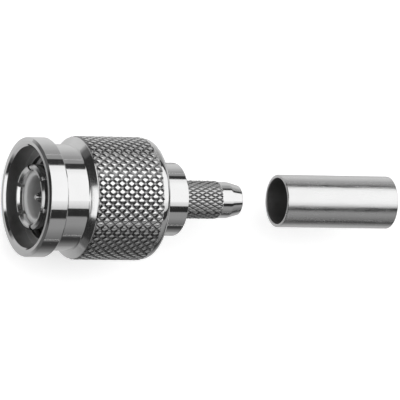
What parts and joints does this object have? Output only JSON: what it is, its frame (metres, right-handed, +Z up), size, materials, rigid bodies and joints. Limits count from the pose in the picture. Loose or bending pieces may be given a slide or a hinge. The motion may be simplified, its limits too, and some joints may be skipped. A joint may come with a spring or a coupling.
{
  "type": "coaxial cable plug connector",
  "caption": "Coaxial cable plug with a knurled threaded coupling nut that turns on its body, a slotted outer contact round a centre pin, and a loose tube ferrule for crimping on the cable.",
  "frame": {"origin": "on the plug's axis, in the plane of the coupling nut's mouth", "axes": "+X along the axis from the mating face to the cable end, +Z up, the nut lying on its knurl below the axis"},
  "size_m": [0.049, 0.015, 0.015],
  "materials": {
    "nut_plating": "nickel plated, bright turned, diamond knurl",
    "body_plating": "nickel plated, bright turned, fine diamond knurl on the stem",
    "contact_plating": "nickel plated, bright",
    "insulator_plastic": "waxy white",
    "pin_plating": "plated, satin",
    "gasket_rubber": "matt",
    "ring_metal": "plain spring bronze",
    "ferrule_plating": "nickel plated, soft lengthwise drawing marks"
  },
  "bodies": {
    "plug": {"connector_body": "body_plating", "outer_contact": "contact_plating", "insulator": "insulator_plastic", "centre_contact": "pin_plating", "gasket": "gasket_rubber", "retaining_ring": "ring_metal"},
    "nut": {"coupling_nut": "nut_plating"},
    "ferrule": {"crimp_ferrule": "ferrule_plating"}
  },
  "joints": [
    {"name": "nut_spin", "type": "hinge", "parent": "plug", "child": "nut", "pos_m": [0, 0, 0], "axis": [1, 0, 0], "continuous": true},
    {"name": "ferrule_slide", "type": "slide", "parent": "plug", "child": "ferrule", "axis": [1, 0, 0], "range_m": [-0.01403, 0]}
  ]
}
